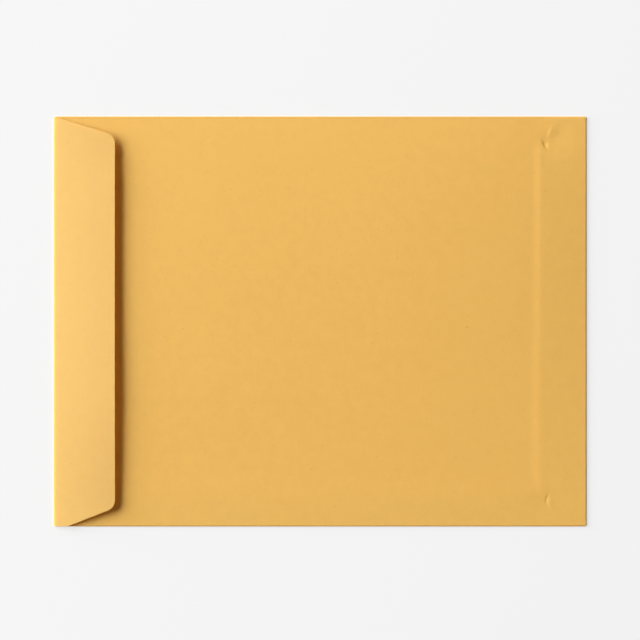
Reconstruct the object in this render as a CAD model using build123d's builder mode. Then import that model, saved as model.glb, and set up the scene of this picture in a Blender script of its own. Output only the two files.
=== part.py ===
from build123d import *
from math import radians
import os

# Open-end catalogue envelope of plain kraft paper, empty, lying on its address side.
# It is one die-cut sheet, folded and glued flat, so it is one solid:
#   front panel - the address side, flat on the table
#   back panel  - joined to the front panel by the long fold at +Y, and glued down along -Y
#   seam flap   - narrow flap of the front panel, folded in at -Y and glued under the back panel
#   bottom flap - folded in at +X and glued under the back panel, which closes the pocket
#   seal flap   - folded over the back panel at -X, never stuck down, standing a little open
# Glued faces are joined. The pocket is the real hollow between the two panels, and it opens
# at the throat, under the seal flap.
# Millimetres, +Z up. The origin is the middle of the address side, +X points to the bottom.

os.makedirs("parts", exist_ok=True)

# The sheet and the finished size
length = 330.2
width = 254.0
paper = 0.16
pocket_gap = 0.5

# Seam flap: its width, how far the back panel's cut edge stays inside the fold, its slanted ends
seam_flap = 18.0
seam_setback = 0.7
seam_slant = 13.0
seam_gap = 4.0

# Bottom flap: its depth, the taper of each shoulder, the rounding of its corners
bottom_flap = 28.0
bottom_taper = 4.0
bottom_corner = 17.0
bottom_setback = 0.7
bottom_relief = 0.6

# Seal flap: its depth, the taper of each shoulder, how far from the fold the shoulder on the
# seam's side starts, the rounding of its corners, and in degrees its rise at the fold and how
# much of that it loses towards its free edge
seal_flap = 38.7
seal_taper = 12.0
seal_shoulder = 9.0
seal_corner = 7.0
seal_relief = 0.3
seal_clearance = 0.1
seal_rise = 7.8
seal_ease = 2.8
throat_setback = 1.2

# Heights of the layers, from the table up
flap_low = paper + pocket_gap
back_low = flap_low + paper
back_top = back_low + paper

# Outer radii of the folds, and the radius in which the seal flap bows back
side_radius = back_top / 2
seam_radius = back_low / 2
seal_radius = (back_top + seal_clearance + paper) / 2
seal_bow = (seal_flap - seal_radius) / radians(seal_ease)

# Lines across and along the envelope
head = -length / 2
foot = length / 2
throat = head + throat_setback
back_foot = foot - bottom_setback
side = width / 2
seam_line = seam_radius - side
seam_foot = foot - bottom_flap - seam_gap
fold_side = side - bottom_relief

# Front panel, both long folds and back panel have one section from the throat to the bottom
with BuildPart() as panels:
    with BuildSketch(Plane.YZ.offset(throat)):
        with BuildLine():
            seam_fold = CenterArc((seam_line, seam_radius), seam_radius, 90, 180)
            side_fold = CenterArc((side - side_radius, side_radius), side_radius, -90, 180)
            Line(seam_fold @ 1, side_fold @ 0)
            offset(amount=paper, side=Side.LEFT)
        make_face()
        with BuildLine():
            Polyline(
                (seam_setback - side, back_low),
                (side - side_radius, back_low),
                (side - side_radius, back_top),
                (seam_setback - side, back_top),
                close=True,
            )
        make_face()
    extrude(amount=back_foot - throat)

# The seam flap lies under the back panel, between the throat and the bottom flap's shoulder
with BuildPart() as seam:
    with BuildSketch(Plane.XY.offset(flap_low)):
        with BuildLine():
            Polyline(
                (throat, seam_line),
                (throat + seam_slant, seam_flap - side),
                (seam_foot, seam_flap - side),
                (seam_foot + seam_slant, seam_line),
                close=True,
            )
        make_face()
    extrude(amount=paper)

# The bottom fold carries the front panel's paper up and back into the pocket
with BuildPart() as bottom:
    with BuildSketch(Plane.XZ):
        with BuildLine():
            bottom_fold = CenterArc((foot - seam_radius, seam_radius), seam_radius, 90, -180)
            Line(bottom_fold @ 1, (back_foot, 0))
            offset(amount=paper, side=Side.RIGHT)
        make_face()
    extrude(amount=fold_side, both=True)
    with BuildSketch(Plane.XY.offset(flap_low)):
        with BuildLine():
            Polyline(
                (foot - seam_radius, fold_side),
                (foot - bottom_flap, side - bottom_taper),
                (foot - bottom_flap, bottom_taper - side),
                (foot - seam_radius, -fold_side),
                close=True,
            )
        bottom_outline = make_face()
        fillet(bottom_outline.vertices().group_by(Axis.X)[0], bottom_corner)
    extrude(amount=paper)

# The seal flap turns over the throat and rises in a slight bow to its free edge
with BuildPart() as seal:
    with BuildSketch(Plane.XZ):
        with BuildLine():
            seal_fold = CenterArc((head + seal_radius, seal_radius), seal_radius, 270, seal_rise - 180)
            JernArc(seal_fold @ 1, seal_fold % 1, seal_bow, -seal_ease)
            offset(amount=paper, side=Side.RIGHT)
        make_face()
    extrude(amount=side - seal_relief, both=True)
    with BuildSketch(Plane.XY):
        with BuildLine():
            Polyline(
                (head, side - seal_relief),
                (head + seal_flap, side - seal_taper),
                (head + seal_flap, seal_taper - side),
                (head + seal_shoulder, seal_relief - side),
                (head, seal_relief - side),
                close=True,
            )
        seal_outline = make_face()
        fillet(seal_outline.vertices().group_by(Axis.X)[-1], seal_corner)
    extrude(amount=seal_flap, mode=Mode.INTERSECT)

# The lip of the front panel between the throat and the seal flap's fold
with BuildPart() as lip:
    with BuildSketch(Plane.XY):
        with BuildLine():
            Polyline(
                (head + seal_radius, side - seal_relief - seal_radius),
                (throat, side - side_radius),
                (throat, seam_line),
                (head + seal_radius, seal_relief + seal_radius - side),
                close=True,
            )
        make_face()
    extrude(amount=paper)

with BuildPart() as envelope:
    add(panels.part)
    add(seam.part)
    add(bottom.part)
    add(lip.part)
    add(seal.part)

envelope.part.label = "envelope"
export_step(envelope.part, "parts/envelope.step")
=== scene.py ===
import math

import bmesh
import bpy
import numpy as np
from bpy.props import FloatProperty, FloatVectorProperty, IntProperty, PointerProperty
from bpy.types import Operator, Panel, PropertyGroup
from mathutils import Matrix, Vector


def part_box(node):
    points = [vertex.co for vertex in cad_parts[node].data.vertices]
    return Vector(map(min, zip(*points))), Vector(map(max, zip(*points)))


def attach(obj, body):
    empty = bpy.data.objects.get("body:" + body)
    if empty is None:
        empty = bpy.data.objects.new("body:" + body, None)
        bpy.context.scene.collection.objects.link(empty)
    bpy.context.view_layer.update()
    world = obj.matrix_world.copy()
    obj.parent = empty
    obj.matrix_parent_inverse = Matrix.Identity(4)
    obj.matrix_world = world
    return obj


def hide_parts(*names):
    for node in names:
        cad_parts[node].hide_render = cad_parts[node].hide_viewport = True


bl_info = {
    "name": "Kraft Catalogue Envelope",
    "version": (1, 0, 0),
    "blender": (4, 5, 0),
    "location": "View3D > Sidebar > Envelope",
    "description": "Folds an open-end envelope out of one sheet of kraft paper, and lights it",
    "category": "Add Mesh",
}

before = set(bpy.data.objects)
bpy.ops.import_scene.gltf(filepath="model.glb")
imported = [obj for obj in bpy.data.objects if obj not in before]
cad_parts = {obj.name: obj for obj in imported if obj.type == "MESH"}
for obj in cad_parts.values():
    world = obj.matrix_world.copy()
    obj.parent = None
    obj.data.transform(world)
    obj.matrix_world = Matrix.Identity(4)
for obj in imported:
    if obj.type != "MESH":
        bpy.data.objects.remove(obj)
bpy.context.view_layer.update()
BOX_LOW, BOX_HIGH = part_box("envelope")

MM = 0.001
HEAD = BOX_LOW.x
FOOT = BOX_HIGH.x
SIDE = BOX_HIGH.y

# Space between the back panel and the seal flap where it turns over
SEAL_CLEARANCE = 0.1 * MM
# Flat faces that make up each half turn
SEAM_TURNS = 6
SIDE_TURNS = 8
SEAL_TURNS = 9
CORNER_TURNS = 12
# Paleness along a fold from wear, where a cut edge has 1: wear there, and partly a painted highlight
FOLD_WEAR = 0.6
SEAL_FOLD_WEAR = 0.3


# Sizes and colours

class EnvelopeSheet(PropertyGroup):
    """Sizes of the folded sheet."""
    paper: FloatProperty(
        name="Paper", description="Thickness of the kraft paper",
        default=0.16 * MM, min=0.05 * MM, max=0.5 * MM, precision=5, unit="LENGTH")
    pocket: FloatProperty(
        name="Pocket", description="Inside height of the pocket at its folds",
        default=0.5 * MM, min=0.2 * MM, max=3 * MM, precision=5, unit="LENGTH")
    glue: FloatProperty(
        name="Glue", description="Thickness of the glue under the back panel",
        default=0.015 * MM, min=0.0, max=0.1 * MM, precision=5, unit="LENGTH")
    seam_width: FloatProperty(
        name="Seam flap", description="Width of the flap glued under the back panel along the seam",
        default=18 * MM, min=8 * MM, max=40 * MM, unit="LENGTH")
    seam_slant: FloatProperty(
        name="Seam slant", description="How far the ends of the seam flap are cut back",
        default=13 * MM, min=0.0, max=30 * MM, unit="LENGTH")
    seam_gap: FloatProperty(
        name="Seam gap", description="Space between the seam flap and the bottom flap",
        default=4 * MM, min=1 * MM, max=20 * MM, unit="LENGTH")
    setback: FloatProperty(
        name="Setback", description="How far the back panel's cut edges stay inside the folds",
        default=0.7 * MM, min=0.5 * MM, max=4 * MM, unit="LENGTH")
    throat: FloatProperty(
        name="Throat", description="Distance from the seal flap's fold to the back panel",
        default=1.2 * MM, min=1 * MM, max=20 * MM, unit="LENGTH")
    bottom_depth: FloatProperty(
        name="Bottom flap", description="Depth of the flap glued under the back panel at the bottom",
        default=28 * MM, min=15 * MM, max=60 * MM, unit="LENGTH")
    bottom_relief: FloatProperty(
        name="Bottom relief", description="How far the bottom fold stays inside the long edges",
        default=0.6 * MM, min=0.5 * MM, max=5 * MM, unit="LENGTH")
    bottom_taper: FloatProperty(
        name="Bottom taper", description="How much narrower the bottom flap is at each free corner",
        default=4 * MM, min=1 * MM, max=40 * MM, unit="LENGTH")
    bottom_corner: FloatProperty(
        name="Bottom corner", description="Radius of the bottom flap's free corners",
        default=17 * MM, min=1 * MM, max=25 * MM, unit="LENGTH")
    seal_depth: FloatProperty(
        name="Seal flap", description="Depth of the seal flap, from its fold to its free edge",
        default=38.7 * MM, min=20 * MM, max=80 * MM, unit="LENGTH")
    seal_relief: FloatProperty(
        name="Seal relief", description="How far the seal flap's fold stays inside the long edges",
        default=0.3 * MM, min=0.2 * MM, max=5 * MM, unit="LENGTH")
    seal_taper: FloatProperty(
        name="Seal taper", description="How much narrower the seal flap is at each free corner",
        default=12 * MM, min=1 * MM, max=40 * MM, unit="LENGTH")
    seal_shoulder: FloatProperty(
        name="Seal shoulder", description="Where the seal flap starts to taper on the seam's side",
        default=9 * MM, min=1 * MM, max=18 * MM, unit="LENGTH")
    seal_corner: FloatProperty(
        name="Seal corner", description="Radius of the seal flap's free corners",
        default=7 * MM, min=1 * MM, max=20 * MM, unit="LENGTH")
    seal_rise: FloatProperty(
        name="Seal rise", description="Angle at which the seal flap leaves its fold",
        default=math.radians(7.8), min=0.0, max=math.radians(15), unit="ROTATION", subtype="ANGLE")
    seal_ease: FloatProperty(
        name="Seal ease", description="How much flatter the seal flap lies at its free edge",
        default=math.radians(2.8), min=0.0, max=math.radians(15), unit="ROTATION", subtype="ANGLE")
    seal_droop: FloatProperty(
        name="Seal droop",
        description="How much lower the seal flap's free corners lie than its middle",
        default=1.2 * MM, min=0.0, max=3 * MM, precision=5, unit="LENGTH")
    bow: FloatProperty(
        name="Bow", description="How far the empty pocket's back panel bows up in the middle",
        default=1.6 * MM, min=0.0, max=3 * MM, unit="LENGTH")
    wave_height: FloatProperty(
        name="Wave height", description="Height of the slow waves in the sheet",
        default=0.22 * MM, min=0.0, max=1 * MM, precision=5, unit="LENGTH")
    wave_length: FloatProperty(
        name="Wave length", description="Length of the slow waves in the sheet",
        default=75 * MM, min=20 * MM, max=300 * MM, unit="LENGTH")
    wave_seed: IntProperty(
        name="Wave seed", description="Picks another set of waves", default=4, min=0)


class EnvelopePaper(PropertyGroup):
    """Colours of the kraft paper."""
    body: FloatVectorProperty(
        name="Body", description="Main colour of the paper",
        default=(0.88, 0.61, 0.160), size=3, min=0.0, max=1.0, subtype="COLOR")
    dark: FloatVectorProperty(
        name="Dark fibre", description="Colour of the darker fibres and specks",
        default=(0.56, 0.29, 0.055), size=3, min=0.0, max=1.0, subtype="COLOR")
    pale: FloatVectorProperty(
        name="Pale fibre", description="Colour of the paler fibres and of rubbed edges",
        default=(0.97, 0.72, 0.25), size=3, min=0.0, max=1.0, subtype="COLOR")
    gum: FloatVectorProperty(
        name="Gum", description="Colour of the dried gum inside the seal flap",
        default=(0.78, 0.48, 0.12), size=3, min=0.0, max=1.0, subtype="COLOR")
    through: FloatProperty(
        name="Light through", description="Share of the light that passes through the paper's surface",
        default=0.35, min=0.0, max=1.0)
    through_colour: FloatVectorProperty(
        name="Light through colour", description="Colour of the light that passes through",
        default=(1.0, 0.74, 0.28), size=3, min=0.0, max=1.0, subtype="COLOR")
    # Painted shade: a greyer, darker colour over the seal flap, so that it comes out less bright under
    # the key lamp
    flap_shade: FloatVectorProperty(
        name="Flap_shade", description="Colour of the faint soiling on the seal flap",
        default=(0.44, 0.37, 0.24), size=3, min=0.0, max=1.0, subtype="COLOR")
    painted_shade: FloatProperty(
        name="Painted_shade_share", description="How much of that soiling shows", default=0.2, min=0.0, max=1.0)
    gum_width: FloatProperty(
        name="Gum width", description="Width of the gummed band inside the seal flap",
        default=16 * MM, min=3 * MM, max=30 * MM, unit="LENGTH")


class EnvelopeStage(PropertyGroup):
    """Floor, lamps and camera."""
    floor: FloatVectorProperty(
        name="Floor", description="Colour of the floor",
        default=(0.90, 0.90, 0.90), size=3, min=0.0, max=1.0, subtype="COLOR")
    key_power: FloatProperty(
        name="Key", description="Power of the large soft lamp at the seal flap's side",
        default=1357.0, min=0.0, unit="POWER")
    key_distance: FloatProperty(
        name="Key distance", description="Distance of the key lamp from the envelope",
        default=6.0, min=1.0, max=20.0, unit="LENGTH")
    key_width: FloatProperty(
        name="Key width", description="Width of the key lamp",
        default=7.0, min=0.1, max=30.0, unit="LENGTH")
    key_depth: FloatProperty(
        name="Key depth", description="Depth of the key lamp",
        default=4.0, min=0.1, max=20.0, unit="LENGTH")
    key_height: FloatProperty(
        name="Key height", description="Angle of the key lamp above the table",
        default=math.radians(19.9), min=0.1, max=1.5, unit="ROTATION", subtype="ANGLE")
    key_turn: FloatProperty(
        name="Key turn", description="Angle of the key lamp round from the seal flap's side",
        default=math.radians(23), min=-1.5, max=1.5, unit="ROTATION", subtype="ANGLE")
    fill: FloatProperty(
        name="Fill", description="Strength of the even light from all round",
        default=0.03, min=0.0, max=2.0)
    lens: FloatProperty(
        name="Lens", description="Focal length of the camera, in millimetres",
        default=100.0, min=20.0, max=300.0)
    covered: FloatProperty(
        name="Covered", description="Width that the camera covers, in lengths of the envelope",
        default=1.1995, min=1.0, max=5.0)


# Layers of the folded sheet, from the table up

class Layers:
    """Heights, fold radii and fold lines that follow from the sheet's sizes."""

    def __init__(self, sheet):
        self.paper = sheet.paper
        self.glue = sheet.glue
        self.back_low = 2 * sheet.paper + sheet.pocket
        back_top = self.back_low + sheet.paper
        self.seam_radius = self.back_low / 2
        self.side_radius = back_top / 2
        self.seal_radius = (back_top + sheet.paper + SEAL_CLEARANCE) / 2
        self.front_mid = sheet.paper / 2
        self.back_mid = self.back_low + sheet.paper / 2 + sheet.glue
        self.seam_line = self.seam_radius - SIDE
        self.side_line = SIDE - self.side_radius
        self.foot_line = FOOT - self.seam_radius
        self.head_line = HEAD + self.seal_radius
        self.throat = HEAD + sheet.throat
        self.back_foot = FOOT - sheet.setback
        self.bottom_edge = FOOT - sheet.bottom_depth
        self.seam_foot = self.bottom_edge - sheet.seam_gap


def smooth(low, high, value):
    """Smooth ramp from 0 at low to 1 at high."""
    t = np.clip((value - low) / (high - low), 0.0, 1.0)
    return t * t * (3 - 2 * t)


def pillow(layers, x, y):
    """How much the back panel may bow: 1 at the most, 0 at the folds and nearly 0 at the throat.

    The side with the plain fold bows more than the side that the seam stiffens.
    """
    across = 1 - np.clip(np.abs(y) / layers.side_line, 0, 1) ** 3.5
    at_seam = 0.3
    stiffened = at_seam + (1 - at_seam) * smooth(-SIDE, 0.4 * SIDE, y)
    level_from, level_to = 0.3 * HEAD, 0.3 * FOOT
    to_foot = np.clip((x - level_to) / (layers.foot_line - level_to), 0, 1) ** 2
    to_head = np.clip((level_from - x) / (level_from - layers.throat), 0, 1) ** 2
    left_at_throat = 0.05
    return across * stiffened * (1 - to_foot) * (1 - (1 - left_at_throat) * to_head)


def over_flaps(sheet, layers, x, y):
    """1 where the back panel lies on a glued flap, 0 where it has sunk past the flap's edge.

    It sinks over a longer way on the seam's side, and by the bottom flap's two corners.
    """
    by_corner = SIDE - sheet.seam_width
    sink = 5.4 * MM + 2.4 * MM * smooth(0.4 * SIDE, -0.5 * SIDE, y)
    sink = sink + 6 * MM * smooth(by_corner - 3 * MM, by_corner + 3 * MM, np.abs(y))
    corner = sheet.bottom_corner
    half_width = SIDE - sheet.bottom_taper * np.clip((FOOT - x) / sheet.bottom_depth, 0, 1)
    out_x = np.maximum(layers.bottom_edge + corner - x, 0)
    out_y = np.maximum(np.abs(y) - half_width + corner, 0)
    bottom = 1 - smooth(0, sink, np.hypot(out_x, out_y) - corner)
    seam = 1 - smooth(0, 14 * MM, y + by_corner)
    return np.maximum(bottom, seam)


def dent(x, y, centre, heading, length, width, run_out, depth):
    """A pressed-in mark, its long axis at the heading in degrees and its sizes in millimetres.

    It is as wide as width on the right of its heading, and runs out over run_out on the left.
    """
    turn = math.radians(heading)
    along = (x - centre[0]) * math.cos(turn) + (y - centre[1]) * math.sin(turn)
    aside = (y - centre[1]) * math.cos(turn) - (x - centre[0]) * math.sin(turn)
    reach = np.where(aside > 0, run_out, width) * MM
    return -depth * MM * np.exp(-(along / (length * MM)) ** 2 - (aside / reach) ** 2)


# Marks at the bottom flap's corners, the plain fold's side first: place from the corner in
# millimetres, heading, length, width, run-out and depth, which is below 0 for a ridge
CORNER_MARKS = (
    (1, (
        ((1.7, 0.6), -63, 2.4, 0.6, 2.0, 0.30),
        ((4.0, -0.4), -63, 0.9, 0.6, 0.9, -0.06),
        ((5.4, 8.2), -116, 3.2, 0.9, 3.5, -0.16),
        ((7.0, 4.0), -90, 9.0, 13.0, 10.0, 0.36),
    )),
    (-1, (
        ((3.2, -0.4), -104, 2.6, 0.6, 1.1, 0.15),
        ((5.2, -4.6), -62, 2.6, 0.7, 2.5, -0.09),
        ((2.0, -3.0), -90, 6.0, 8.0, 12.0, 0.10),
    )),
)


def corner_marks(sheet, layers, x, y):
    """Where the bottom flap's two corners press through, the back panel is pinched."""
    height = 0.0
    for side, marks in CORNER_MARKS:
        corner_y = side * (SIDE - sheet.seam_width)
        for (on, up), *form in marks:
            centre = (layers.bottom_edge + on * MM, corner_y + up * MM)
            height = height + dent(x, y, centre, *form)
    return height


def back_height(sheet, layers, x, y):
    """Height of the middle of the back panel's paper over the table."""
    sunk = sheet.paper * (1 - over_flaps(sheet, layers, x, y))
    marks = corner_marks(sheet, layers, x, y)
    return layers.back_mid + sheet.bow * pillow(layers, x, y) - sunk + marks


def flap_height(sheet, layers, x, y):
    """Height of a flap glued under the back panel, below the lowest of the panel close by."""
    reach = (-1.8 * MM, -0.9 * MM, 0.0, 0.9 * MM, 1.8 * MM)
    near = [back_height(sheet, layers, x + on, y + up) for on in reach for up in reach]
    return np.min(near, axis=0) - layers.paper - layers.glue


# The sheet as a net of rows

class Net:
    """The middle surface of the sheet: where each point is, and where it lies on the flat blank."""

    def __init__(self):
        self.points, self.flat, self.faces = [], [], []
        # Pale wear along folds and cut edges, at the cut edges partly a painted highlight
        self.wave, self.wear_and_highlight = [], []

    def row(self, x, y, z, u, v, wave=0.0, wear_and_highlight=0.0):
        """Adds a row of points, each value a number or an array, and returns their indices."""
        x, y, z, u, v, wave, wear_and_highlight = np.broadcast_arrays(x, y, z, u, v, wave, wear_and_highlight)
        first = len(self.points)
        self.points.extend(zip(x.tolist(), y.tolist(), z.tolist()))
        self.flat.extend(zip(u.tolist(), v.tolist()))
        self.wave.extend(wave.tolist())
        self.wear_and_highlight.extend(wear_and_highlight.tolist())
        return list(range(first, len(self.points)))

    def join(self, a, b, turned=False):
        """Fills the strip between two rows of as many points."""
        for i in range(len(a) - 1):
            quad = (a[i], b[i], b[i + 1], a[i + 1])
            self.faces.append(quad[::-1] if turned else quad)


def spaced(low, high, step, fine=()):
    """Places from low to high about a step apart, closer within each fine (from, to, step)."""
    places = [low]
    while places[-1] < high:
        here = places[-1]
        near = [s for start, end, s in fine if start - 1e-9 <= here < end - 1e-9]
        stops = [start for start, _, _ in fine if here + 1e-9 < start] + [high]
        places.append(min(here + min(near + [step]), *stops))
    if len(places) > 2 and places[-1] - places[-2] < 1e-6:
        places.pop(-2)
    return np.array(places)


def edge_wear_and_highlight(count):
    """Paleness along a row that runs from one cut edge to the other: wear, and partly a painted
    highlight at the cut edges.
    """
    wear_and_highlight = np.zeros(count)
    wear_and_highlight[[0, -1]] = 1.0
    return wear_and_highlight


def flap_outline(depth, base, tip, corner, step, turns=CORNER_TURNS):
    """Rows of a flap with straight shoulders and round corners: (distance from fold, half width)."""
    slope = math.hypot(depth, base - tip)
    normal = ((base - tip) / slope, depth / slope)
    centre_d = depth - corner
    centre_w = base - (corner * slope + (base - tip) * centre_d) / depth
    round_from = centre_d + corner * normal[0]
    rows = [(d, base + (tip - base) * d / depth) for d in spaced(0, round_from, step)]
    start = math.atan2(normal[1], normal[0])
    for k in range(1, turns + 1):
        angle = start * (1 - k / turns)
        rows.append((centre_d + corner * math.cos(angle), centre_w + corner * math.sin(angle)))
    return rows


def panels(net, sheet, layers):
    """Front panel, both long folds and back panel. Returns the front panel's rows."""
    edge = layers.bottom_edge
    base_end = layers.seam_foot + sheet.seam_slant
    fine = [
        (layers.throat, layers.throat + 1 * MM, 0.5 * MM),
        (edge - 10 * MM, edge - 2 * MM, 1.5 * MM),
        (edge - 2 * MM, edge + 7 * MM, 0.3 * MM),
        (edge + 7 * MM, base_end, 0.7 * MM),
        (base_end, edge + 18 * MM, 0.9 * MM),
        (layers.back_foot - 1 * MM, layers.back_foot, 0.5 * MM),
    ]
    x = spaced(layers.throat, layers.back_foot, 3.6 * MM, fine)
    ends = edge_wear_and_highlight(len(x))
    bend = layers.seam_radius - layers.front_mid
    fold_length = math.pi * bend
    rows = []
    for k in range(SEAM_TURNS + 1):
        angle = math.pi * (0.5 + k / SEAM_TURNS)
        y = layers.seam_line + bend * math.cos(angle)
        z = layers.seam_radius + bend * math.sin(angle)
        v = layers.seam_line - fold_length * (1 - k / SEAM_TURNS)
        rows.append(net.row(x, y, z, x, v, wear_and_highlight=np.maximum(ends, FOLD_WEAR)))
    seam_top = rows[0]
    front = [rows[-1]]
    relief = SIDE - sheet.bottom_relief
    corner_y = SIDE - sheet.seam_width
    fine = [
        (-corner_y - 10 * MM, -corner_y + 8 * MM, 1.5 * MM),
        (corner_y - 8 * MM, corner_y + 14 * MM, 1.5 * MM),
    ]
    for y in [*spaced(-relief, relief, 6 * MM, fine), layers.side_line]:
        fold = FOLD_WEAR if y == layers.side_line else 0.0
        front.append(net.row(x, y, layers.front_mid, x, y, wear_and_highlight=np.maximum(ends, fold)))
    rows += front[1:]
    bend = layers.side_radius - layers.front_mid
    fold_length = math.pi * bend
    for k in range(1, SIDE_TURNS + 1):
        angle = math.pi * (k / SIDE_TURNS - 0.5)
        y = layers.side_line + bend * math.cos(angle)
        z = layers.side_radius + bend * math.sin(angle)
        v = layers.side_line + fold_length * k / SIDE_TURNS
        rows.append(net.row(x, y, z, x, v, wear_and_highlight=np.maximum(ends, FOLD_WEAR)))
    fine = [
        (-layers.side_line, -layers.side_line + 2 * MM, 0.6 * MM),
        (-corner_y - 14 * MM, -corner_y - 6 * MM, 1 * MM),
        (-corner_y - 6 * MM, -corner_y + 5 * MM, 0.35 * MM),
        (corner_y - 5 * MM, corner_y + 6 * MM, 0.35 * MM),
        (corner_y + 6 * MM, corner_y + 14 * MM, 1 * MM),
        (SIDE - sheet.setback - 1 * MM, SIDE, 0.5 * MM),
    ]
    cut = SIDE - sheet.setback
    for down in spaced(-layers.side_line, cut, 3.4 * MM, fine)[1:]:
        y = -down
        z = back_height(sheet, layers, x, y)
        v = 2 * layers.side_line + fold_length - y
        lift = pillow(layers, x, y)
        wear_and_highlight = np.maximum(ends, 1.0 if down >= cut else 0.0)
        rows.append(net.row(x, y, z, x, v, wave=lift, wear_and_highlight=wear_and_highlight))
    for a, b in zip(rows, rows[1:]):
        net.join(a, b)
    return x, seam_top, front


def seam_flap(net, sheet, layers, x, seam_top):
    """The flap along the seam, cut back at a slant at both ends."""
    base_end = layers.seam_foot + sheet.seam_slant
    count = int(np.argmin(np.abs(x - base_end))) + 1
    base_x = x[:count]
    share = (base_x - base_x[0]) / (base_x[-1] - base_x[0])
    depth = sheet.seam_width - layers.seam_radius
    fold_length = math.pi * (layers.seam_radius - layers.front_mid)
    last = seam_top[:count]
    for d in spaced(0, depth, 2.5 * MM)[1:]:
        slant = sheet.seam_slant * d / depth
        row_x = base_x[0] + slant + share * (base_x[-1] - base_x[0] - 2 * slant)
        y = layers.seam_line + d
        z = flap_height(sheet, layers, row_x, y)
        wear_and_highlight = np.maximum(edge_wear_and_highlight(count), 1.0 if d >= depth else 0.0)
        v = layers.seam_line - fold_length - d
        row = net.row(row_x, y, z, row_x, v, wave=pillow(layers, row_x, y), wear_and_highlight=wear_and_highlight)
        net.join(row, last)
        last = row


def bottom_flap(net, sheet, layers, front):
    """The bottom fold, and the flap that it carries back under the back panel."""
    inside = front[1:-1]
    last = [row[-1] for row in inside]
    y = np.array([net.points[i][1] for i in last])
    ends = edge_wear_and_highlight(len(y))
    bend = layers.seam_radius - layers.front_mid
    fold_length = math.pi * bend
    for k in range(SEAM_TURNS + 1):
        angle = math.pi * (k / SEAM_TURNS - 0.5)
        row_x = layers.foot_line + bend * math.cos(angle)
        z = layers.seam_radius + bend * math.sin(angle)
        u = layers.foot_line + fold_length * k / SEAM_TURNS
        row = net.row(row_x, y, z, u, y, wear_and_highlight=np.maximum(ends, FOLD_WEAR))
        net.join(last, row, turned=True)
        last = row
    depth = sheet.bottom_depth - layers.seam_radius
    base = SIDE - sheet.bottom_relief
    tip = SIDE - sheet.bottom_taper
    outline = flap_outline(depth, base, tip, sheet.bottom_corner, 2.5 * MM)
    for d, half in outline[1:]:
        row_x = layers.foot_line - d
        row_y = y / base * half
        z = flap_height(sheet, layers, row_x, row_y)
        lift = pillow(layers, row_x, row_y)
        wear_and_highlight = np.maximum(ends, 1.0 if d >= depth - 1e-6 else 0.0)
        row = net.row(row_x, row_y, z, layers.foot_line + fold_length + d, row_y, lift, wear_and_highlight)
        net.join(last, row, turned=True)
        last = row


def seal_flap(net, sheet, layers, front):
    """The lip of the front panel, its fold, and the seal flap standing a little open."""
    last = [row[0] for row in front]
    y = np.array([net.points[i][1] for i in last])
    base = SIDE - sheet.seal_relief
    y = y / np.abs(y).max() * base
    ends = edge_wear_and_highlight(len(y))
    fold_wear_and_highlight = np.maximum(ends, SEAL_FOLD_WEAR)
    row = net.row(layers.head_line, y, layers.front_mid, layers.head_line, y, wear_and_highlight=fold_wear_and_highlight)
    net.join(last, row)
    last = row
    bend = layers.seal_radius - layers.front_mid
    turn = math.pi - sheet.seal_rise
    for k in range(1, SEAL_TURNS + 1):
        angle = -math.pi / 2 - turn * k / SEAL_TURNS
        row_x = layers.head_line + bend * math.cos(angle)
        z = layers.seal_radius + bend * math.sin(angle)
        u = layers.head_line - bend * turn * k / SEAL_TURNS
        row = net.row(row_x, y, z, u, y, wear_and_highlight=fold_wear_and_highlight)
        net.join(last, row)
        last = row
    start_x, start_z = row_x, z
    depth = sheet.seal_depth - layers.seal_radius
    tip = SIDE - sheet.seal_taper
    step = 1.5 * MM
    outline = flap_outline(depth, base, tip, sheet.seal_corner, step)
    straight = sheet.seal_shoulder - layers.seal_radius
    seam_side = flap_outline(depth - straight, base, tip, sheet.seal_corner, step, 5 * CORNER_TURNS)
    seam_d, seam_half = np.transpose(seam_side)
    for d, half in outline[1:]:
        middle = sheet.seal_rise - sheet.seal_ease * d / depth / 2
        row_x = start_x + d * math.cos(middle)
        row_y = y / base * np.where(y < 0, np.interp(d - straight, seam_d, seam_half), half)
        corners = smooth(0.3 * SIDE, tip, -row_y) + 0.8 * smooth(0.6 * SIDE, tip, row_y)
        z = start_z + d * math.sin(middle) - sheet.seal_droop * corners * (d / depth) ** 1.5
        wear_and_highlight = np.maximum(ends, 1.0 if d >= depth - 1e-6 else 0.0)
        lift = 0.6 * smooth(0, 0.4, d / depth)
        row = net.row(row_x, row_y, z, u - d, row_y, wave=lift, wear_and_highlight=wear_and_highlight)
        net.join(last, row)
        last = row


def mesh_from(net):
    """The net as a mesh, with the blank's own coordinates in metres as its UV map."""
    mesh = bpy.data.meshes.new("envelope_sheet")
    mesh.from_pydata(net.points, [], net.faces)
    corners = np.empty(len(mesh.loops), np.int32)
    mesh.loops.foreach_get("vertex_index", corners)
    flat = np.array(net.flat)[corners]
    mesh.uv_layers.new(name="blank").data.foreach_set("uv", flat.ravel().astype(np.float32))
    for name, values in (("wave", net.wave), ("wear_and_highlight", net.wear_and_highlight)):
        attribute = mesh.attributes.new(name, "FLOAT", "POINT")
        attribute.data.foreach_set("value", np.array(values, np.float32))
    mesh.shade_smooth()
    mesh.update()
    return mesh


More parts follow.
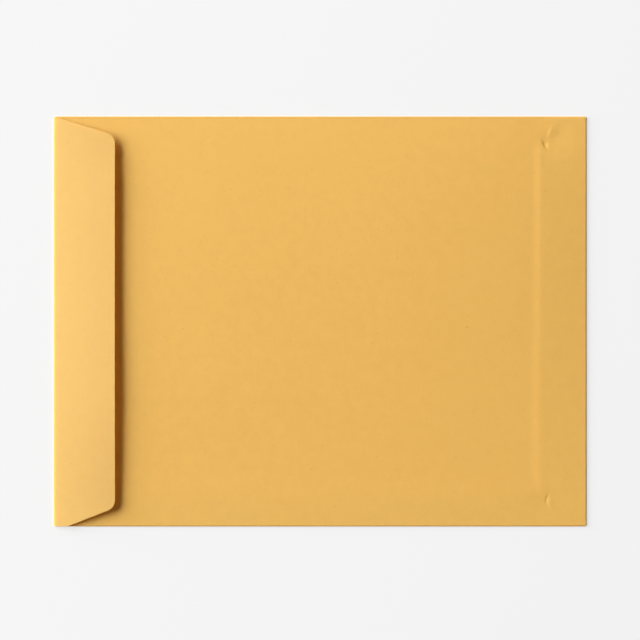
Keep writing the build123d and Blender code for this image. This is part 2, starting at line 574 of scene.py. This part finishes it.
class Nodes:
    """A node tree with short calls for its nodes, each value a plain one or another node's output."""

    def __init__(self, tree):
        self.tree = tree
        self.tree.nodes.clear()

    def fill(self, socket, value):
        """Links an output to an input, or sets the input to a value."""
        if isinstance(value, bpy.types.NodeSocket):
            self.tree.links.new(value, socket)
        elif socket.type == "RGBA":
            socket.default_value = (*value, 1.0)
        else:
            socket.default_value = value

    def add(self, kind, inputs=(), **settings):
        """Adds a node, with pairs of input and value, and returns it."""
        node = self.tree.nodes.new(kind)
        for key, value in settings.items():
            setattr(node, key, value)
        for key, value in inputs:
            self.fill(node.inputs[key], value)
        return node

    def math(self, operation, a, b):
        return self.add("ShaderNodeMath", ((0, a), (1, b)), operation=operation).outputs[0]

    def noise(self, source, label, scale, detail=2.0, roughness=0.5, stretch=(1, 1, 1), turn=0.0):
        """Noise on the blank, its features 1/scale metres across, stretched and turned if asked."""
        placed = (("Vector", source), ("Scale", stretch), ("Rotation", (0, 0, turn)))
        mapping = self.add("ShaderNodeMapping", placed, label=label).outputs[0]
        form = (("Vector", mapping), ("Scale", scale), ("Detail", detail), ("Roughness", roughness))
        return self.add("ShaderNodeTexNoise", form, label=label).outputs[0]

    def ramp(self, source, low, high, to_low=0.0, to_high=1.0):
        """Maps low..high of a value to to_low..to_high, and holds it there."""
        ends = (("From Min", low), ("From Max", high), ("To Min", to_low), ("To Max", to_high))
        return self.add("ShaderNodeMapRange", (("Value", source), *ends), clamp=True).outputs[0]

    def blend(self, factor, a, b):
        """Mixes colour b over colour a."""
        parts = (("Factor", factor), (6, a), (7, b))
        return self.add("ShaderNodeMix", parts, data_type="RGBA", clamp_factor=True).outputs[2]

    def mixed(self, share, a, b):
        """Mixes shader b over shader a."""
        return self.add("ShaderNodeMixShader", ((0, share), (1, a), (2, b))).outputs[0]

    def attribute(self, name):
        """A value that the mesh carries at each point."""
        return self.add("ShaderNodeAttribute", label=name, attribute_name=name).outputs["Fac"]

    def seen_directly(self):
        """1 for what the camera sees, itself or in a reflection or through glass."""
        path = self.add("ShaderNodeLightPath").outputs
        seen = self.math("MAXIMUM", path["Is Camera Ray"], path["Is Glossy Ray"])
        return self.math("MAXIMUM", seen, path["Is Transmission Ray"])


def relief_tree(material):
    """Geometry nodes that lift the sheet in slow waves, as far as its wave attribute lets it."""
    tree = bpy.data.node_groups.new("paper_relief", "GeometryNodeTree")
    face = tree.interface
    face.new_socket("Geometry", in_out="INPUT", socket_type="NodeSocketGeometry")
    for name in ("Wave height", "Wave length", "Seed"):
        face.new_socket(name, in_out="INPUT", socket_type="NodeSocketFloat")
    face.new_socket("Geometry", in_out="OUTPUT", socket_type="NodeSocketGeometry")
    n = Nodes(tree)
    start = n.add("NodeGroupInput").outputs
    place = n.add("GeometryNodeInputPosition").outputs[0]
    level = n.add("ShaderNodeVectorMath", ((0, place), (1, (1, 1, 0))), operation="MULTIPLY")
    scale = n.math("DIVIDE", 1.0, start["Wave length"])
    form = (("Vector", level.outputs[0]), ("W", start["Seed"]), ("Scale", scale), ("Detail", 1.0))
    noise = n.add("ShaderNodeTexNoise", form, noise_dimensions="4D").outputs[0]
    allowed = n.add("GeometryNodeInputNamedAttribute", (("Name", "wave"),), data_type="FLOAT")
    share = n.math("MULTIPLY", n.math("SUBTRACT", noise, 0.5), allowed.outputs["Attribute"])
    rise = n.math("MULTIPLY", share, start["Wave height"])
    up = n.add("ShaderNodeCombineXYZ", (("Z", rise),)).outputs[0]
    move = n.add("GeometryNodeSetPosition", (("Geometry", start["Geometry"]), ("Offset", up)))
    real = n.add("GeometryNodeRealizeInstances", ((0, move.outputs[0]),)).outputs[0]
    paint = n.add("GeometryNodeSetMaterial", (("Geometry", real), ("Material", material)))
    n.add("NodeGroupOutput", ((0, paint.outputs[0]),))
    return tree


def set_input(modifier, tree, name, value):
    """Sets a modifier's input by its socket's identifier."""
    for item in tree.interface.items_tree:
        if item.item_type == "SOCKET" and item.in_out == "INPUT" and item.name == name:
            modifier[item.identifier] = value
            return
    raise RuntimeError(f"no input named {name}")


def mark_rims(mesh):
    """Keeps the paper's cut edges crisp where the faces turn sharply."""
    sharp = math.radians(50)
    work = bmesh.new()
    work.from_mesh(mesh)
    for edge in work.edges:
        if len(edge.link_faces) == 2 and edge.calc_face_angle() > sharp:
            edge.smooth = False
    work.to_mesh(mesh)
    work.free()


def mark_flap(mesh, net, sheet, gum_width):
    """Marks the painted shade over the seal flap, and the band of dried gum inside it near its free
    edge.
    """
    u, v = np.transpose(net.flat)
    # Painted shade over the seal flap, on both its faces, from just past its fold
    flap_shade = smooth(HEAD - 1 * MM, HEAD - 4 * MM, u)
    from_edge = u - np.min(u)
    gum = smooth(gum_width + 0.6 * MM, gum_width, from_edge)
    gum = gum * smooth(1.2 * MM, 1.8 * MM, from_edge)
    reach = SIDE - sheet.seal_taper
    gum = gum * smooth(reach - 2 * MM, reach - 4 * MM, np.abs(v))
    # The solid holds the net's points twice, the outer face first
    for name, outer, inner in (("gum", np.zeros(len(u)), gum), ("flap_shade", flap_shade, flap_shade)):
        values = np.concatenate([outer, inner]).astype(np.float32)
        mesh.attributes.new(name, "FLOAT", "POINT").data.foreach_set("value", values)


# Materials

def new_finish(name):
    """A new material and its empty node tree."""
    material = bpy.data.materials.new(name)
    material.use_nodes = True
    return material, Nodes(material.node_tree)


def kraft_paper(paper):
    """Uncoated kraft: cloudy body, crossing fibres, fine grain, sparse specks, and pale edges, partly
    rubbed and partly a painted highlight.
    """
    material, n = new_finish("kraft_paper")
    blank = n.add("ShaderNodeTexCoord").outputs["UV"]
    cloud = n.noise(blank, "cloudy formation", 140, 3.0, 0.6)
    drift = n.noise(blank, "slow drift", 14, 1.0)
    grain = n.noise(blank, "fine grain", 2600, 2.0, 0.7)
    along = n.noise(blank, "fibres along", 900, 3.0, 0.65, stretch=(0.22, 1, 1), turn=0.12)
    across = n.noise(blank, "fibres across", 800, 3.0, 0.65, stretch=(1, 0.25, 1), turn=-0.35)
    specks = n.noise(blank, "specks", 700, 1.0, 0.4, stretch=(0.6, 1, 1), turn=0.6)
    wear_and_highlight, gum, flap_shade = (n.attribute(name) for name in ("wear_and_highlight", "gum", "flap_shade"))

    colour = paper.body
    for source, low, high, most, over in (
            (cloud, 0.35, 0.75, 0.09, paper.dark),
            (drift, 0.35, 0.70, 0.05, paper.pale),
            (along, 0.55, 0.78, 0.18, paper.pale),
            (across, 0.56, 0.80, 0.16, paper.dark),
            (grain, 0.40, 0.75, 0.10, paper.dark),
            (specks, 0.74, 0.79, 0.55, paper.dark)):
        colour = n.blend(n.ramp(source, low, high, 0.0, most), colour, over)
    # Paler cut edges and folds: rubbed paper, and at the cut edges partly a painted highlight along
    # the rim
    rubbed_and_highlight = n.math("MULTIPLY", n.ramp(wear_and_highlight, 0.2, 1.0, 0.0, 0.5), n.ramp(grain, 0.3, 0.6, 0.6, 1.0))
    colour = n.blend(rubbed_and_highlight, colour, paper.pale)
    # Painted shade: greys and darkens the seal flap against how brightly the key lamp lights it
    colour = n.blend(n.math("MULTIPLY", flap_shade, paper.painted_shade), colour, paper.flap_shade)
    colour = n.blend(n.math("MULTIPLY", gum, 0.7), colour, paper.gum)

    smoother_gum = n.math("MULTIPLY", gum, 0.3)
    rough = n.math("SUBTRACT", n.ramp(cloud, 0.3, 0.7, 0.58, 0.68), smoother_gum)
    height = n.math("MULTIPLY", grain, 0.5)
    for source, share in ((along, 0.8), (across, 0.6), (cloud, 1.2)):
        height = n.math("ADD", height, n.math("MULTIPLY", source, share))
    relief = (("Strength", 0.5), ("Distance", 0.03 * MM), ("Height", height))
    bump = n.add("ShaderNodeBump", relief).outputs[0]
    surface = n.add("ShaderNodeBsdfPrincipled", (
        ("Base Color", colour), ("Roughness", rough), ("Specular IOR Level", 0.35), ("Normal", bump)))
    through = n.add("ShaderNodeBsdfTranslucent", (("Color", paper.through_colour),))
    mix = n.mixed(paper.through, surface.outputs[0], through.outputs[0])
    n.add("ShaderNodeOutputMaterial", (("Surface", mix),))
    return material


def floor_finish(colour):
    """A pale floor that the camera sees as evenly pale, and that still takes a shadow."""
    material, n = new_finish("floor")
    matte = n.add("ShaderNodeBsdfDiffuse", (("Color", colour),)).outputs[0]
    glow = n.add("ShaderNodeEmission", (("Color", colour),)).outputs[0]
    even = n.math("MULTIPLY", n.seen_directly(), 0.75)
    n.add("ShaderNodeOutputMaterial", (("Surface", n.mixed(even, matte, glow)),))
    return material


# Operators

class ENVELOPE_OT_fold_sheet(Operator):
    """Fold the kraft sheet into the envelope"""
    bl_idname = "envelope.fold_sheet"
    bl_label = "Fold the sheet"

    def execute(self, context):
        sheet = context.scene.envelope_sheet
        paper = context.scene.envelope_paper
        layers = Layers(sheet)
        net = Net()
        x, seam_top, front = panels(net, sheet, layers)
        seam_flap(net, sheet, layers, x, seam_top)
        bottom_flap(net, sheet, layers, front)
        seal_flap(net, sheet, layers, front)
        piece = bpy.data.objects.new("kraft_envelope", mesh_from(net))
        context.scene.collection.objects.link(piece)
        tree = relief_tree(kraft_paper(paper))
        relief = piece.modifiers.new("relief", "NODES")
        relief.node_group = tree
        set_input(relief, tree, "Wave height", sheet.wave_height)
        set_input(relief, tree, "Wave length", sheet.wave_length)
        set_input(relief, tree, "Seed", float(sheet.wave_seed))
        body = piece.modifiers.new("thickness", "SOLIDIFY")
        body.thickness = sheet.paper
        body.offset = 0.0
        body.use_even_offset = True
        body.use_quality_normals = True
        finished = piece.evaluated_get(context.evaluated_depsgraph_get())
        solid = bpy.data.meshes.new_from_object(finished)
        piece.modifiers.clear()
        piece.data = solid
        solid.name = "kraft_envelope"
        mark_rims(solid)
        mark_flap(solid, net, sheet, paper.gum_width)
        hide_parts("envelope")
        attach(piece, "root")
        return {"FINISHED"}


class ENVELOPE_OT_set_stage(Operator):
    """Add the floor, the lamps, the backdrop and the camera"""
    bl_idname = "envelope.set_stage"
    bl_label = "Set the stage"

    def execute(self, context):
        stage = context.scene.envelope_stage
        self.add_floor(context, stage)
        self.add_key(context, stage)
        self.add_backdrop(context, stage)
        self.add_camera(context, stage)
        context.scene.view_settings.view_transform = "Standard"
        return {"FINISHED"}

    def add_floor(self, context, stage):
        half = 3.0
        under = -0.05 * MM
        around = ((-half, -half), (half, -half), (half, half), (-half, half))
        mesh = bpy.data.meshes.new("floor")
        mesh.from_pydata([(x, y, under) for x, y in around], [], [(0, 1, 2, 3)])
        mesh.materials.append(floor_finish(stage.floor))
        floor = bpy.data.objects.new("floor", mesh)
        context.scene.collection.objects.link(floor)

    def add_key(self, context, stage):
        lamp = bpy.data.lights.new("key", "AREA")
        lamp.shape = "RECTANGLE"
        lamp.size = stage.key_width
        lamp.size_y = stage.key_depth
        lamp.energy = stage.key_power
        level = stage.key_distance * math.cos(stage.key_height)
        place = Vector((
            -level * math.cos(stage.key_turn),
            level * math.sin(stage.key_turn),
            stage.key_distance * math.sin(stage.key_height),
        ))
        key = bpy.data.objects.new("key", lamp)
        key.location = place
        key.rotation_euler = (-place).to_track_quat("-Z", "Y").to_euler()
        context.scene.collection.objects.link(key)

    def add_backdrop(self, context, stage):
        world = bpy.data.worlds.new("backdrop")
        world.use_nodes = True
        context.scene.world = world
        n = Nodes(world.node_tree)
        white = (1.0, 1.0, 1.0)
        fill = n.add("ShaderNodeBackground", (("Color", white), ("Strength", stage.fill))).outputs[0]
        shown = n.add("ShaderNodeBackground", (("Color", stage.floor),)).outputs[0]
        n.add("ShaderNodeOutputWorld", (("Surface", n.mixed(n.seen_directly(), fill, shown)),))

    def add_camera(self, context, stage):
        """Looks straight down on the envelope, a little off its middle, from the stage's lens."""
        lens = bpy.data.cameras.new("camera")
        lens.lens = stage.lens
        lens.sensor_width = 36.0
        covered = stage.covered * (FOOT - HEAD)
        panel_top = BOX_LOW.z + 1.5 * MM
        camera = bpy.data.objects.new("camera", lens)
        camera.location = (-0.1 * MM, 0.9 * MM, panel_top + covered * stage.lens / lens.sensor_width)
        context.scene.collection.objects.link(camera)
        context.scene.camera = camera


class ENVELOPE_PT_tools(Panel):
    """Sizes, colours and steps of the envelope"""
    bl_idname = "ENVELOPE_PT_tools"
    bl_label = "Kraft envelope"
    bl_space_type = "VIEW_3D"
    bl_region_type = "UI"
    bl_category = "Envelope"

    def draw(self, context):
        layout = self.layout
        scene = context.scene
        for group in (scene.envelope_sheet, scene.envelope_paper, scene.envelope_stage):
            box = layout.box()
            for name in group.__annotations__:
                box.prop(group, name)
        layout.operator(ENVELOPE_OT_fold_sheet.bl_idname)
        layout.operator(ENVELOPE_OT_set_stage.bl_idname)


CLASSES = (
    EnvelopeSheet, EnvelopePaper, EnvelopeStage,
    ENVELOPE_OT_fold_sheet, ENVELOPE_OT_set_stage, ENVELOPE_PT_tools,
)


def register():
    for each in CLASSES:
        bpy.utils.register_class(each)
    bpy.types.Scene.envelope_sheet = PointerProperty(type=EnvelopeSheet)
    bpy.types.Scene.envelope_paper = PointerProperty(type=EnvelopePaper)
    bpy.types.Scene.envelope_stage = PointerProperty(type=EnvelopeStage)


def unregister():
    del bpy.types.Scene.envelope_stage
    del bpy.types.Scene.envelope_paper
    del bpy.types.Scene.envelope_sheet
    for each in reversed(CLASSES):
        bpy.utils.unregister_class(each)


def main():
    register()
    bpy.ops.envelope.set_stage()
    bpy.ops.envelope.fold_sheet()


if __name__ == "__main__":
    main()
